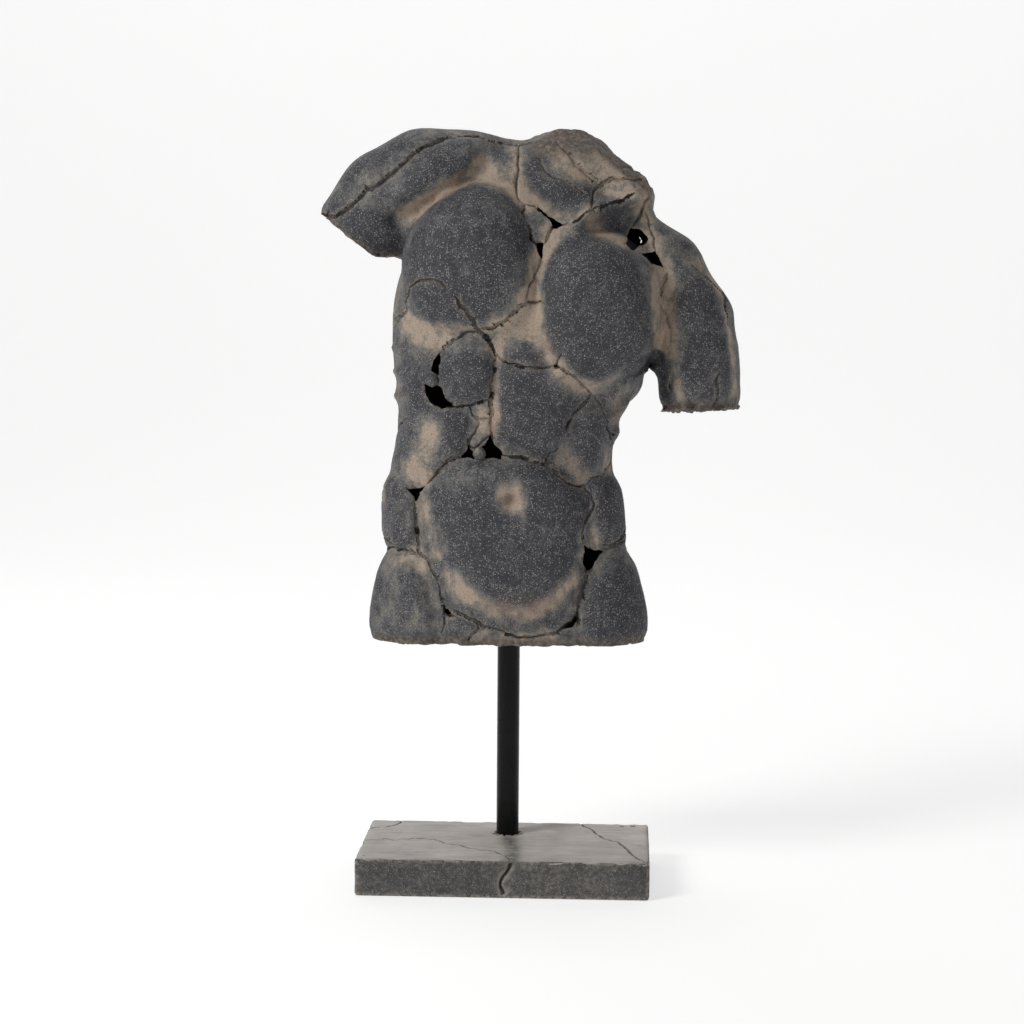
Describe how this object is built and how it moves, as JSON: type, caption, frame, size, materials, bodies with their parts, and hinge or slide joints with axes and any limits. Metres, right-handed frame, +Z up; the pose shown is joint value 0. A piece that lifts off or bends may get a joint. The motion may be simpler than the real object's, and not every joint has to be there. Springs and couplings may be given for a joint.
{
  "type": "body sculpture",
  "caption": "Broken male torso in dark cast stone, cracked into plates, held above a cracked rectangular slab by a black steel rod.",
  "frame": {"origin": "centre of the plinth's underside", "axes": "+Z up along the rod, +Y towards the statue's back, +X towards its left arm"},
  "size_m": [0.3681, 0.1847, 0.6509],
  "materials": {
    "dark_cast_stone": "matt, speckled charcoal on the raised plates, beige dust in the hollows and along the cracks",
    "blackened_steel": "satin black",
    "grey_cast_stone": "matt, worn grey-beige top with darker speckled sides and open cracks"
  },
  "bodies": {
    "root": {"torso": "dark_cast_stone", "rod": "blackened_steel", "plinth": "grey_cast_stone"}
  },
  "joints": []
}
